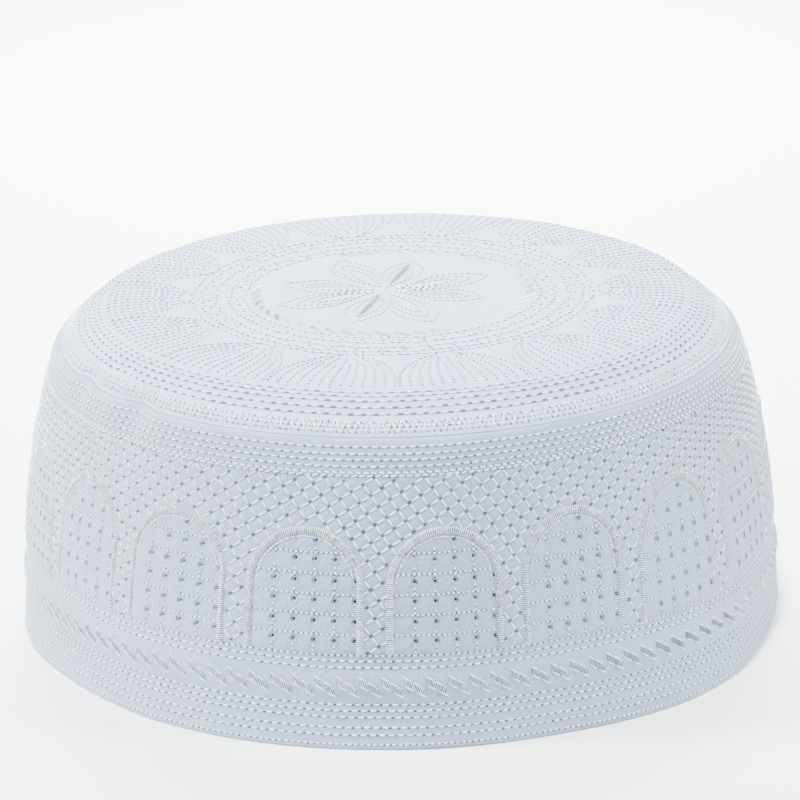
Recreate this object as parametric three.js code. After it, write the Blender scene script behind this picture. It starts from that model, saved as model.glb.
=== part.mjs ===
// Dome hat: a soft round cap of quilted white cloth, in two sewn pieces.
// The side band is a flared wall whose lower edge is the rim. The crown is a low dome
// that turns down at its edge and meets the band in a seam.
// Millimetres, +Z up. The origin is the middle of the rim, and the front faces -Y.
import * as THREE from 'three';

// Driving sizes of the whole cap
const RIM_RADIUS = 95;
const SHOULDER_RADIUS = 84.6;
const SHOULDER_HEIGHT = 71.1;
const TOP_HEIGHT = 81.9;
const CLOTH = 2;
const SEAM_GAP = 0.3;

// The band: a nearly straight foot under the arches, then a wall that swells a little
const FOOT_HEIGHT = 19.6;
const FOOT_RADIUS = 93.7;
const WALL_SWELL = 1.5;
const WALL_STEPS = 5;

// The crown's profile from the shoulder inwards, as a share of the shoulder's radius and of
// the height between the shoulder and the top
const CROWN_PROFILE = [
  { share: 0.970, rise: 0.23 },
  { share: 0.922, rise: 0.56 },
  { share: 0.880, rise: 0.82 },
  { share: 0.828, rise: 0.935 },
  { share: 0.710, rise: 0.965 },
  { share: 0.402, rise: 0.975 },
  { share: 0.000, rise: 1.0 },
];

// Where the two pieces meet, as a height on the shoulder
const SEAM_HEIGHT = 72.8;

// Where the soft cloth leaves the round. Angles run round +Z from the front, in degrees, and
// are positive towards +X. Each place is drawn in by its depth, or pushed out if that is
// negative, and fades out over its half width and over up and down from its height. The first
// three are puckers at the seam, and the others are the rim's own soft shape.
const DRAWN_PLACES = [
  { angle: -48.0, halfWidth: 6.0, depth: 2.0, height: 72.5, up: 6.0, down: 12.0 },
  { angle: -64.5, halfWidth: 5.0, depth: 1.5, height: 73.0, up: 5.0, down: 9.0 },
  { angle: -56.0, halfWidth: 6.0, depth: 0.8, height: 76.0, up: 5.0, down: 5.0 },
  { angle: -56.0, halfWidth: 22.0, depth: 1.2, height: 0.0, up: 60.0, down: 1.0 },
  { angle: 46.0, halfWidth: 26.0, depth: -2.0, height: 0.0, up: 60.0, down: 1.0 },
  { angle: 76.0, halfWidth: 20.0, depth: 1.2, height: 0.0, up: 60.0, down: 1.0 },
];

// How finely the pieces are divided. Crowding above 1 sets the rows closer at the start.
const SEGMENTS = 144;
const BAND_ROWS = 9;
const BAND_CROWDING = 0.9;
const CROWN_ROWS = 10;
const CROWN_CROWDING = 1.6;
const SEAM_SEARCH_STEPS = 4000;
const ON_AXIS = 1e-6;

// The outer profile as one curve from the rim, up the wall and in to the middle of the crown
function outerProfile() {
  const points = [
    new THREE.Vector3(RIM_RADIUS, 0, 0),
    new THREE.Vector3((RIM_RADIUS + FOOT_RADIUS) / 2, FOOT_HEIGHT / 2, 0),
  ];
  for (let i = 0; i <= WALL_STEPS; i++) {
    const t = i / WALL_STEPS;
    const straight = FOOT_RADIUS + (SHOULDER_RADIUS - FOOT_RADIUS) * t;
    const swell = WALL_SWELL * 4 * t * (1 - t);
    const height = FOOT_HEIGHT + (SHOULDER_HEIGHT - FOOT_HEIGHT) * t;
    points.push(new THREE.Vector3(straight + swell, height, 0));
  }
  for (const { share, rise } of CROWN_PROFILE) {
    const height = SHOULDER_HEIGHT + (TOP_HEIGHT - SHOULDER_HEIGHT) * rise;
    points.push(new THREE.Vector3(SHOULDER_RADIUS * share, height, 0));
  }
  return new THREE.CatmullRomCurve3(points, false, 'centripetal');
}

const profile = outerProfile();
const profileLength = profile.getLength();

// The place along the profile, from 0 to 1, where it first reaches a height
function placeAtHeight(height) {
  for (let i = 0; i <= SEAM_SEARCH_STEPS; i++) {
    const place = i / SEAM_SEARCH_STEPS;
    if (profile.getPointAt(place).y >= height) return place;
  }
  return 1;
}

// The closed cut through a cloth wall between two places along the profile: the outer line,
// then the inner line back again, one cloth thickness inside it. The line stands upright at
// the rim and lies level at the middle of the crown.
function wallSection(start, end, rows, crowding) {
  const outer = [];
  const inner = [];
  for (let i = 0; i < rows; i++) {
    const place = start + (end - start) * (i / (rows - 1)) ** crowding;
    const point = profile.getPointAt(place);
    const tangent = profile.getTangentAt(place);
    if (place === 0) tangent.set(0, 1, 0);
    if (place === 1) tangent.set(-1, 0, 0);
    const normal = new THREE.Vector2(tangent.y, -tangent.x).normalize();
    outer.push({ r: point.x, z: point.y });
    inner.push({ r: point.x - normal.x * CLOTH, z: point.y - normal.y * CLOTH });
  }
  return [...outer, ...inner.reverse()];
}

// A smooth hump: 1 in the middle, 0 at a distance of 1 and beyond
function hump(distance) {
  const t = Math.min(Math.abs(distance), 1);
  return (1 + Math.cos(Math.PI * t)) / 2;
}

// How far the cloth is drawn inwards at an angle and a height
function drawnIn(angle, z) {
  let depth = 0;
  for (const p of DRAWN_PLACES) {
    const across = (angle - THREE.MathUtils.degToRad(p.angle)) / THREE.MathUtils.degToRad(p.halfWidth);
    const along = (z - p.height) / (z > p.height ? p.up : p.down);
    depth += p.depth * hump(across) * hump(along);
  }
  return depth;
}

// Carries a closed section round +Z. A point on the axis becomes one shared corner.
function revolve(section) {
  const positions = [];
  const rings = section.map(({ r, z }) => {
    const first = positions.length / 3;
    if (r < ON_AXIS) {
      positions.push(0, 0, z);
      return { first, single: true };
    }
    for (let j = 0; j < SEGMENTS; j++) {
      const angle = -Math.PI + (2 * Math.PI * j) / SEGMENTS;
      const drawn = r - drawnIn(angle, z);
      positions.push(drawn * Math.sin(angle), -drawn * Math.cos(angle), z);
    }
    return { first, single: false };
  });
  const faces = [];
  rings.forEach((low, i) => {
    const high = rings[(i + 1) % rings.length];
    if (low.single && high.single) return;
    for (let j = 0; j < SEGMENTS; j++) {
      const k = (j + 1) % SEGMENTS;
      const a = low.single ? low.first : low.first + j;
      const b = low.single ? low.first : low.first + k;
      const c = high.single ? high.first : high.first + k;
      const d = high.single ? high.first : high.first + j;
      if (!low.single) faces.push(a, b, high.single ? c : d);
      if (!high.single) faces.push(low.single ? a : b, c, d);
    }
  });
  const geometry = new THREE.BufferGeometry();
  geometry.setAttribute('position', new THREE.Float32BufferAttribute(positions, 3));
  geometry.setIndex(faces);
  geometry.computeVertexNormals();
  return geometry;
}

function cloth(name, color) {
  return new THREE.MeshStandardMaterial({ name, color, roughness: 0.85, metalness: 0 });
}

const seam = placeAtHeight(SEAM_HEIGHT);
const halfGap = SEAM_GAP / 2 / profileLength;

function sideBand() {
  const section = wallSection(0, seam - halfGap, BAND_ROWS, BAND_CROWDING);
  const mesh = new THREE.Mesh(revolve(section), cloth('band_cloth', 0xe2e7ee));
  mesh.name = 'side_band';
  return mesh;
}

function crown() {
  const section = wallSection(seam + halfGap, 1, CROWN_ROWS, CROWN_CROWDING);
  const mesh = new THREE.Mesh(revolve(section), cloth('crown_cloth', 0xe7ecf3));
  mesh.name = 'crown';
  return mesh;
}

const domeHat = new THREE.Group();
domeHat.name = 'dome_hat';
domeHat.add(sideBand(), crown());

export default domeHat;
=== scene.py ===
"""Dome hat: a soft round cap of quilted white cloth, covered with white machine embroidery.

The file is laid out as a Blender add-on and is run as a script. Shapes are worked out in
millimetres as numpy arrays and become metres when their mesh is made. Three charts carry every
stitch. On the wall and on the crown's turned-down edge a place is (x, z): x is the distance round
the cap from the front, measured at REFERENCE_RADIUS and positive towards +X, and z the height. On
the crown a place is (x, y), seen from above.
"""
import math

import bpy
import numpy as np
from mathutils import Matrix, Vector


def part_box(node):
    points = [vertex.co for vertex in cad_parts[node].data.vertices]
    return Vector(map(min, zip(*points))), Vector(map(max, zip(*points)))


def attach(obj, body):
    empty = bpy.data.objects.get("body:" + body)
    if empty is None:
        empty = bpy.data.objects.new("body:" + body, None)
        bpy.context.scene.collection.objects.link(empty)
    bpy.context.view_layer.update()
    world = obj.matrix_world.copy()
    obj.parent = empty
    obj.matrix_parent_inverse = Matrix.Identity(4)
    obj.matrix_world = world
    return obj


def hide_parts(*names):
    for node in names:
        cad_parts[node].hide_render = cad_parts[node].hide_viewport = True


bl_info = {
    "name": "Dome Hat",
    "version": (1, 0, 0),
    "blender": (4, 5, 0),
    "location": "3D View > Sidebar > Dome Hat",
    "description": "Builds a quilted and embroidered round cap over its two cloth solids",
    "category": "Add Mesh",
}

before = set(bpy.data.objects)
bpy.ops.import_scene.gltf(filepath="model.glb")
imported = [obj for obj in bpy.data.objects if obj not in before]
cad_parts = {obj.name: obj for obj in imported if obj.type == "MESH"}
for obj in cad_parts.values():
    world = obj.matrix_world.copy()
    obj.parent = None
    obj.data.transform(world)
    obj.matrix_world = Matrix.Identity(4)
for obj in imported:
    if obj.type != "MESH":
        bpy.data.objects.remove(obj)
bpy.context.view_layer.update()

MM = 0.001
BODY = "root"
FULL_TURN = 2 * math.pi
RNG_SEED = 11

# The cap's shape in millimetres, with its overall sizes from the frame's solids
RIM_RADIUS = (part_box("side_band")[1][1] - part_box("side_band")[0][1]) / 2 / MM
TOP_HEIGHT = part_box("crown")[1][2] / MM
SHOULDER_RADIUS = 84.6
SHOULDER_HEIGHT = 71.1
FOOT_HEIGHT = 19.6
FOOT_RADIUS = 93.7
WALL_SWELL = 1.5
WALL_STEPS = 5
PROFILE_STEPS = 60
REFERENCE_RADIUS = 92.5
SEAM_HEIGHT = 72.8
SEAM_HALF_GAP = 0.03
CLOTH = 2.0

# The crown's profile: share of the shoulder's radius, and share of the rise from shoulder to top
CROWN_PROFILE = (
    (0.970, 0.23),
    (0.922, 0.56),
    (0.880, 0.82),
    (0.828, 0.935),
    (0.710, 0.965),
    (0.402, 0.975),
    (0.000, 1.0),
)

# Rounded edges of the cloth: distance from the edge, and depth as a share of the thickness
RIM_EDGE = ((0.75, 0.0), (0.3, 0.06), (0.04, 0.25), (0.0, 0.5))
SEAM_EDGE = ((0.4, 0.0), (0.1, 0.025), (0.02, 0.15), (0.0, 0.5))

# Where the cloth leaves the round: angle and half width in degrees, depth inwards, height, and
# how far up and down it fades out
DRAWN_PLACES = (
    (-48.0, 6.0, 2.0, 72.5, 6.0, 12.0),
    (-64.5, 5.0, 1.5, 73.0, 5.0, 9.0),
    (-56.0, 6.0, 0.8, 76.0, 5.0, 5.0),
    (-56.0, 22.0, 1.2, 0.0, 60.0, 1.0),
    (46.0, 26.0, -2.0, 0.0, 60.0, 1.0),
    (76.0, 20.0, 1.2, 0.0, 60.0, 1.0),
)

# How far the sewn cloth has settled from the even pattern: turned in degrees and raised in mm,
# at these angles round the cap (columns) and heights (rows)
SETTLED_ANGLES = (
    -114.0, -94.1, -74.1, -54.1, -34.1, -14.1, 5.9, 25.9, 45.9, 65.9, 85.9, 105.9, 126.0)
SETTLED_HEIGHTS = (20.0, 26.0, 52.0, 68.0, 72.8)
LOW_TURNS = (0, -0.2, 0.2, -2.4, -1.8, -0.3, 0.3, -0.2, -1.9, -1.5, -1.0, -0.4, 0)
HIGH_TURNS = (0, -0.2, 0.2, -1.2, -0.9, 0.1, 0.4, 0.1, -0.3, -1.3, -1.0, -0.4, 0)
SETTLED_TURNS = (LOW_TURNS, LOW_TURNS, HIGH_TURNS, HIGH_TURNS, HIGH_TURNS)
SETTLED_RISES = (
    (0, 0, 0, 0, 0, 0, 0, 0, 0, 0, 0, 0, 0),
    (0, -0.2, -0.3, 1.2, 0.4, 0, -0.15, 0.1, -0.6, -0.4, 0, 0, 0),
    (0, 0, 0, 1.5, 0.5, 0, -0.1, 1.0, 2.0, 3.2, 2.0, 0.8, 0),
    (0, 0, 0, 0, 0, 0, 0, 0.3, 0.7, 0.9, 0.6, 0.3, 0),
    (0, 0, 0, 0, 0, 0, 0, 0, 0, 0, 0, 0, 0),
)

# Running rows on the wall from the rim up: height, pitch, stitch length, slant, shift in pitches
BAND_RUNS = (
    (1.4, 1.45, 0.986, 0.12, 0.0),
    (3.7, 2.1, 1.428, 0.12, 0.37),
    (5.5, 2.1, 1.428, 0.12, 0.74),
    (8.0, 2.1, 1.428, 0.12, 1.11),
    (9.6, 2.1, 1.428, 0.12, 1.48),
    (11.1, 2.1, 1.428, 0.12, 1.85),
    (20.1, 2.1, 1.47, 0.1, 0.0),
    (21.7, 2.1, 1.47, 0.1, 0.29),
    (23.1, 1.4375, 1.00625, 0.1, 0.58),
    (64.7, 1.8, 1.45, 0.4, 0.0),
    (65.4, 1.8, 1.45, -0.4, 0.5),
    (66.8, 2.15, 1.5, 0.16, 0.0),
    (68.3, 2.15, 1.5, 0.16, 0.41),
    (69.6, 2.15, 1.5, 0.16, 0.82),
    (71.1, 2.15, 1.5, 0.16, 1.23),
)
OVERLOCK_RUNS = (
    (74.0, 1.5, 1.2, 0.5, 0.0),
    (74.7, 1.5, 1.2, 0.2, 0.37),
    (75.4, 1.5, 1.2, -0.1, 0.74),
)
BAND_ROWS = tuple(run[0] for run in BAND_RUNS)
HEM_ROWS, FOOT_ROWS, LATTICE_ROWS = BAND_ROWS[:6], BAND_ROWS[6:9], BAND_ROWS[9:11]
HEM_FOLD = 4.7

# Arches on the wall: 18 of them, each with its eyelets and ruled lines
ARCH_COUNT = 18
ARCH_TURN = FULL_TURN / ARCH_COUNT
ARCH_FIRST = math.radians(5.93)
ARCH_RADIUS = 12.8
ARCH_BASE = 23.4
ARCH_SPRING = 39.4
ARCH_FOOT = 1.2
BORDER_STRANDS = 142
BORDER_HALF = 0.92
BORDER_LEAN = 0.12
INNER_LINE = 1.5
INNER_LINE_STEPS = 80
INNER_LINE_PITCH = 1.3
INNER_LINE_STITCH = 1.15
RULED_MARGIN = 1.0
RULED_PITCH = 1.15
RULED_LEVEL_STITCH = 0.86
RULED_UPRIGHT_STITCH = 0.8
RULED_GAP = 0.32
ARCH_LINES = (28.0, 32.8, 37.5, 42.3, 47.1)
ARCH_LINE_PITCH = 4.775
EYELET_MIDDLE = math.radians(1.4)
EYELET_PITCH = math.radians(2.9)
EYELET_HEIGHTS = (26.6, 31.2, 36.0, 40.6, 45.6, 50.0)
EYELET_COLUMNS = (2, 2, 2, 2, 1, 0)
EYELET_CLEAR = 1.25
EYELET_RADIUS = 0.76
EYELET_INNER = 0.10

# The whipped lip of an eyelet, from its outer foot over the mouth and down: reach and height
LIP_SECTION = (
    (1.08, -0.06), (1.01, 0.07), (0.93, 0.05), (0.84, -0.08), (0.24, -0.50), (0.32, -0.66))
LIP_TURNS = 10

# The lattice: a straight grid on the flat pattern piece, which the cone bends round
LATTICE_PITCH = 3.05
LATTICE_ANGLE = math.radians(33.0)
LATTICE_REACH = 130
LATTICE_GAP = 0.11
LATTICE_CLEAR = 1.1
LATTICE_PIT_CLEAR = 1.2
LATTICE_LOW = ARCH_BASE + 0.1
LATTICE_HIGH = LATTICE_ROWS[0] + 0.2
CONE_TURN = 0.168
CONE_REACH = RIM_RADIUS / CONE_TURN

# Slanted satin blocks between the foot rows and the hem, and the threads along their two edges:
# height against the block's top edge, start and end along x
BLOCK_COUNT = 117
BLOCK_RUNGS = 11
BLOCK_TOP = 17.6
BLOCK_RUN = 3.9
BLOCK_FALL = 2.4
BLOCK_DEPTH = 1.75
RUNG_FOOT = -0.35
RUNG_HEAD = 0.2
RUNG_GAP = -0.07
BLOCK_EDGES = (
    (0.1, -0.5, 1.5),
    (0.1, 1.6, 3.6),
    (-BLOCK_DEPTH - 0.1, -0.2, 2.1),
    (-BLOCK_DEPTH - 0.1, 2.2, 4.8),
)

# The zigzag over the crown's turned-down edge
ZIGZAG_COUNT = 190
ZIGZAG_FOOT = 73.2
ZIGZAG_HEAD = 76.0
ZIGZAG_LEAN = 0.42
ZIGZAG_SIDE_SCATTER = (-0.35, 0.35)
ZIGZAG_FOOT_SCATTER = (-0.15, 0.25)
ZIGZAG_HEAD_SCATTER = (-0.3, 0.3)

# The crown's pattern, as radii
CROWN_ROWS = (73.2, 74.35, 75.6, 76.95, 78.3)
CROWN_PITCH = 2.9
CROWN_STITCH = 1.4
CROWN_SHIFT = 0.43
FAN_COUNT = 14
FAN_TURN = FULL_TURN / FAN_COUNT
FAN_FIRST = math.radians(12.86)
FAN_TIP = 50.0
FAN_FOOT = 66.0
FAN_END = 72.4
FAN_FILL = 0.965
FAN_LINES = 13
FAN_EDGE_START = 0.4
FAN_LINE_START = 1.5
FAN_STAGGER = 4.0
FAN_ROUNDING = 2.0
FAN_PITCH = 1.55
FAN_STITCH = 1.05
FAN_SHIFT = 0.3
RING_MIDDLE = (-0.8, 0.2)
RING_COUNT = 48
RING_TURN = FULL_TURN / RING_COUNT
RING_ROWS = (36.4, 40.1, 43.6, 47.0, 49.2)
RING_PITCH = 2.1
RING_STITCH = 1.2
RING_SHIFT = 0.31
RING_SCATTER = 0.16
RING_DOTS = (38.3, 45.2)
TICK_START = 36.9
TICK_PITCH = 1.75
TICK_COUNT = 6
TICK_LEAN = 0.0022
ROPE_RADIUS = 33.9
ROPE_DASH = 5.0
ROPE_LEAN = math.radians(28.0)
ROPE_STRANDS = 9
ROPE_HALF = 0.5

# The rosette: petals by direction in degrees, their outlines as (width, length), where they
# start from the middle, and their stitch pitch
ROSETTE_MIDDLE = (-2.7, 1.5)
SATIN_PETALS = (-17.0, 73.0, 163.0, 253.0)
OPEN_PETALS = (24.0, 114.0, 204.0, 294.0)
PETALS = (
    (SATIN_PETALS, ((5.4, 21.5), (9.6, 25.5)), 3.0, 1.55),
    (OPEN_PETALS, ((3.6, 20.0), (7.0, 24.0), (10.4, 28.0)), 3.4, 1.6),
)
PETAL_STITCH = 1.05
PETAL_STEPS = 40
VEIN_STRANDS = 27
VEIN_START = 4.0
VEIN_LENGTH = 18.0
VEIN_HALF = 1.3
VEIN_END_HALF = 0.15
VEIN_LEAN = 0.5

# Satin that lies across the light shows darker gaps
SHADED_PETALS = (73.0, 253.0)
SATIN_SHINE = math.radians(50.0)

# Quilting relief
ROW_DIP = 0.22
ROW_WIDTH = 0.42
ARCH_PUFF = 0.40
ARCH_EDGE = 0.8
PILLOW_LEAST = 0.35
PILLOW_POWER = 0.6
EYELET_DIMPLE = 0.22
DIMPLE_SPREAD = 0.9
LATTICE_PUFF = 0.45
LATTICE_POWER = 0.8
PLAIN_PUFF = 0.30
PLAIN_MIDDLE = 15.6
PLAIN_HALF = 4.4
HEM_STEP = 0.12
HEM_EDGE = 0.35
DRAG = 0.22
DRAG_MIDDLE = 10.0
DRAG_HALF = 13.0
BAND_WAVE = 0.25
CROWN_PUFF = 0.40
CROWN_POWER = 0.7
BARE_EDGE = 2.5
BARE_TIP = 2.0
FAN_FLUTE = 0.10
RING_PUFF_MIDDLE = 30.0
RING_PUFF_HALF = 4.5
CROWN_WAVE = 0.18
CALM_RADIUS = 40.0

# Threads: width, height over the cloth, and where a stitch's sections stand along it
LONG = (0.0, 0.16, 0.5, 0.84, 1.0)
SHORT = (0.0, 0.25, 0.75, 1.0)
THREAD_UNEVEN = (0.88, 1.12)
THREAD_TAPER = 0.86
THREAD_FLATNESS = 0.8
THREADS = {
    "band_row": (0.44, 0.24, LONG),
    "lattice": (0.42, 0.34, LONG),
    "arch_border": (0.38, 0.28, LONG),
    "arch_inner_line": (0.30, 0.14, SHORT),
    "arch_ruling": (0.42, 0.28, SHORT),
    "block_rung": (0.25, 0.20, LONG),
    "block_edge": (0.34, 0.34, LONG),
    "zigzag": (0.32, 0.18, LONG),
    "overlock": (0.34, 0.16, LONG),
    "crown_row": (0.42, 0.24, LONG),
    "rope": (0.36, 0.18, LONG),
    "fan": (0.40, 0.20, SHORT),
    "vein": (0.36, 0.16, LONG),
    "petal": (0.38, 0.20, LONG),
}

# Painted shade as dark ellipses: needle pits close on the cloth, shadow gaps over the satin: length,
# width and lift
PIT_LIFT = 0.13
GAP_LIFT = 0.34
PIT_UNEVEN = (0.8, 1.2)
SHADE_PITS = {
    "lattice_along": (1.35, 0.40, PIT_LIFT),
    "lattice_across": (0.95, 0.30, PIT_LIFT),
    "arch_ruling": (0.38, 0.38, PIT_LIFT),
    "arch_border": (1.5, 0.22, GAP_LIFT),
    "block_rung": (1.55, 0.2, GAP_LIFT),
    "overlock": (0.75, 0.34, PIT_LIFT),
    "fan": (1.3, 0.54, PIT_LIFT),
    "ring_dot": (0.7, 0.9, PIT_LIFT),
    "rope": (1.4, 0.3, GAP_LIFT),
    "petal": (0.9, 0.62, PIT_LIFT),
}
BAND_PIT_WIDTH = 0.42
CROWN_PIT_WIDTH = 0.46
RING_PIT_WIDTH = 0.78
SHADED_GAP_WIDTH = 0.4
LIT_GAP_WIDTH = 0.22

# Cells of the cloth's grids: columns to an eyelet's pitch, between two arches, round the crown
EYELET_CELLS = 6
GAP_CELLS = 16
ARCH_CELLS = 4 * EYELET_CELLS + GAP_CELLS
CROWN_CELLS = 672
CELL_HEIGHT = 0.79

# Rows of the band's grid as heights: on the outer face under the top rows of stitches, and on
# the inner face over and under the eyelets
BAND_TOP_CELLS = (65.05, 65.4, 66.1, 66.8, 67.55, 68.3, 68.95, 69.6, 70.35, 71.1, 71.7)
BAND_INNER_TOP = (70.0, 66.0, 61.0, 56.0)
BAND_INNER_FOOT = (22.0, 17.0, 11.0, 6.0, 2.5)

# Rows of the crown's grid as radii: on the outer face in the ring round the rosette and under the
# edge's rows of stitches, and on the inner face
RING_CELLS = (34.0, 35.2, 36.4, 37.6, 38.8, 40.1, 41.3, 42.5, 43.6, 44.7, 45.8, 47.0, 48.1, 49.2)
ROW_CELLS = (
    73.2, 73.75, 74.35, 74.95, 75.6, 76.25, 76.95, 77.6, 78.3, 79.0, 79.8, 80.7, 81.6)
INNER_CELLS = (4, 12, 24, 36, 48, 60, 68, 73, 76, 79)

# Weave and twist, in millimetres, with the depth of their bumps in metres. A shade is a factor
# and what is added to it.
YARN = 0.55
# Painted shade in the low gaps between the yarns
WEAVE_PAINTED_SHADE = (0.26, 0.80)
GRAIN_SHADE = (0.5, 0.75)
MOTTLE_SHADE = (0.06, 0.97)
WEAVE_BUMP = 0.00022
TWIST_PITCH = 0.5
TWIST_ROUGH = (0.08, 0.26)
TWIST_BUMP = 0.00005
# Painted shade: the dark colour of needle pits and of the gaps between satin strands
PAINTED_SHADE_COLOUR = (0.07, 0.09, 0.12)
# Painted shade on the eyelet's funnel below its mouth, and the part of the lip's section over which it
# fades in
EYELET_PAINTED_SHADE = (0.44, 0.52, 0.63)
EYELET_FADE = (0.36, 0.52)

# The studio, in metres
FLOOR_HALF = 4.0
SKY_COLOUR = (0.95, 0.97, 1.0)
SKY_STRENGTH = 0.15
CAMERA_PLACE = (0.0005, -1.0438, 0.4084)
CAMERA_PITCH = math.radians(18.769)
CAMERA_ROLL = math.radians(-1.3585)
CAMERA_LENS = 199.4
CAMERA_SENSOR = 36.0

# Lamps: the panel's property with their power, place, target, size, and beam in degrees
LAMPS = {
    "back_softbox": ("back_power", (0.0, 0.75, 0.95), (0.0, 0.48, 0.0), 0.5, 66.0),
    "top_softbox": ("top_power", (-0.12, -0.28, 1.35), (0.0, 0.0, 0.06), 0.15, 25.0),
    "left_softbox": ("left_power", (-1.1, -0.1, 0.6), (0.0, 0.0, 0.04), 0.3, 60.0),
    "right_softbox": ("right_power", (1.05, -0.28, 0.65), (0.03, -0.03, 0.04), 0.3, 60.0),
}


def sizes():
    """The sizes set in the panel."""
    return bpy.context.scene.dome_hat_sizes


def curve_through(points, steps):
    """A smooth curve through points, as many steps between each two.

    Each stretch is a cubic whose end slopes come from the neighbours, weighted by the square root
    of the distances between them (a centripetal spline). The ends continue straight.
    """
    points = np.asarray(points, float)
    points = np.vstack([2 * points[0] - points[1], points, 2 * points[-1] - points[-2]])
    gaps = np.linalg.norm(np.diff(points, axis=0), axis=1) ** 0.5
    t = np.linspace(0, 1, steps, endpoint=False)[:, None]
    parts = []
    for i in range(1, len(points) - 2):
        p0, p1, p2, p3 = points[i - 1:i + 3]
        g0, g1, g2 = gaps[i - 1:i + 2]
        start = ((p1 - p0) / g0 - (p2 - p0) / (g0 + g1) + (p2 - p1) / g1) * g1
        end = ((p2 - p1) / g1 - (p3 - p1) / (g1 + g2) + (p3 - p2) / g2) * g1
        parts.append(
            p1 + start * t
            + (3 * (p2 - p1) - 2 * start - end) * t ** 2
            + (2 * (p1 - p2) + start + end) * t ** 3
        )
    return np.vstack(parts + [points[-2:-1]])


def cap_profile():
    """The outer line from the rim up the wall and in to the crown's middle.

    The wall's radius is a straight line from foot to shoulder plus a swell of 4t(1 - t). Returns
    distance along, radius, height and the outward normal's two parts, as arrays.
    """
    t = np.arange(WALL_STEPS + 1) / WALL_STEPS
    wall_r = FOOT_RADIUS + (SHOULDER_RADIUS - FOOT_RADIUS) * t + WALL_SWELL * 4 * t * (1 - t)
    wall_z = FOOT_HEIGHT + (SHOULDER_HEIGHT - FOOT_HEIGHT) * t
    table = np.array(CROWN_PROFILE)
    crown_r = SHOULDER_RADIUS * table[:, 0]
    crown_z = SHOULDER_HEIGHT + (TOP_HEIGHT - SHOULDER_HEIGHT) * table[:, 1]
    foot_r = [RIM_RADIUS, (RIM_RADIUS + FOOT_RADIUS) / 2]
    foot_z = [0.0, FOOT_HEIGHT / 2]
    knots = np.stack([np.r_[foot_r, wall_r, crown_r], np.r_[foot_z, wall_z, crown_z]], 1)
    line = curve_through(knots, PROFILE_STEPS)
    step = np.diff(line, axis=0)
    along = np.r_[0.0, np.cumsum(np.hypot(step[:, 0], step[:, 1]))]
    slope = np.gradient(line, along, axis=0)
    slope /= np.linalg.norm(slope, axis=1)[:, None]
    return along, line[:, 0], line[:, 1], slope[:, 1], -slope[:, 0]


ALONG, RADIUS, HEIGHT, OUT_R, OUT_Z = cap_profile()


def along_at_height(z):
    """Distance along the profile from the rim to a height."""
    return np.interp(z, HEIGHT, ALONG)


def along_at_radius(r):
    """Distance along the profile from the rim to a radius, which shrinks all the way."""
    return np.interp(-np.asarray(r), -RADIUS, ALONG)


def hump(distance):
    """1 in the middle, falling as half a cosine to 0 at a distance of 1."""
    return (1 + np.cos(np.pi * np.minimum(np.abs(distance), 1))) / 2


def bells(value, lines, width):
    """1 on any of the lines, falling as a bell of that width to 0 between them."""
    gap = np.min(np.abs(value[..., None] - np.asarray(lines)), axis=-1)
    return np.exp(-((gap / width) ** 2))


def from_nearest(angle, first, turn):
    """Angle from the nearest of the places that stand a turn apart, counted from the first."""
    return (angle - first + turn / 2) % turn - turn / 2


def drawn_in(angle, z):
    """How far the soft cloth is drawn inwards: the sum of a hump for each drawn place."""
    depth = np.zeros(np.broadcast(angle, z).shape)
    for at, half, deep, height, up, down in DRAWN_PLACES:
        away = from_nearest(angle, math.radians(at), FULL_TURN)
        fade = np.where(z > height, up, down)
        depth += deep * hump(away / math.radians(half)) * hump((z - height) / fade)
    return depth


def on_cap(angle, along, lift):
    """Points on the cap and their outward normals.

    The profile at a distance along is turned round +Z by angle from the front, moved out along
    its normal by lift, and drawn in by the puckers.
    """
    r = np.interp(along, ALONG, RADIUS)
    z = np.interp(along, ALONG, HEIGHT)
    out_r = np.interp(along, ALONG, OUT_R)
    out_z = np.interp(along, ALONG, OUT_Z)
    far = r + out_r * lift - drawn_in(angle, z)
    sine, cosine = np.sin(angle), np.cos(angle)
    place = np.stack([far * sine, -far * cosine, z + out_z * lift], -1)
    normal = np.stack([out_r * sine, -out_r * cosine, out_z + 0 * angle], -1)
    return place, normal


def settled(angle, along):
    """From an even place of the pattern to where the sewn cloth has settled, turned and raised.

    Both tables are read between their columns by angle and between their rows by height.
    """
    marks = along_at_height(np.array(SETTLED_HEIGHTS))
    even = np.radians(SETTLED_ANGLES)
    turn, rise = 0.0, 0.0
    for k in range(len(marks)):
        share = np.interp(along, marks, np.eye(len(marks))[k])
        turn = turn + share * np.interp(angle, even, SETTLED_TURNS[k], period=FULL_TURN)
        rise = rise + share * np.interp(angle, even, SETTLED_RISES[k], period=FULL_TURN)
    return angle + np.radians(turn), along + rise


def soft_waves(angle, z, seed, size):
    """Shallow irregular waves: a sum of six slanted sines, with 5 to 30 lobes round the cap."""
    draw = np.random.default_rng(seed)
    total = np.zeros(np.broadcast(angle, z).shape)
    for _ in range(6):
        lobes = draw.integers(5, 31)
        lean = draw.uniform(-0.05, 0.05)
        total += np.sin(lobes * angle + lean * z + draw.uniform(0, 6.28)) / 6
    return total * size


def arch_depth(angle, z):
    """Distance inside the arches' middle line: positive inside, negative outside."""
    x = from_nearest(angle, ARCH_FIRST, ARCH_TURN) * REFERENCE_RADIUS
    side = ARCH_RADIUS - np.hypot(x, np.maximum(z - ARCH_SPRING, 0))
    return np.minimum(side, np.where(z < ARCH_SPRING, z - ARCH_BASE + ARCH_FOOT, side))


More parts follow.
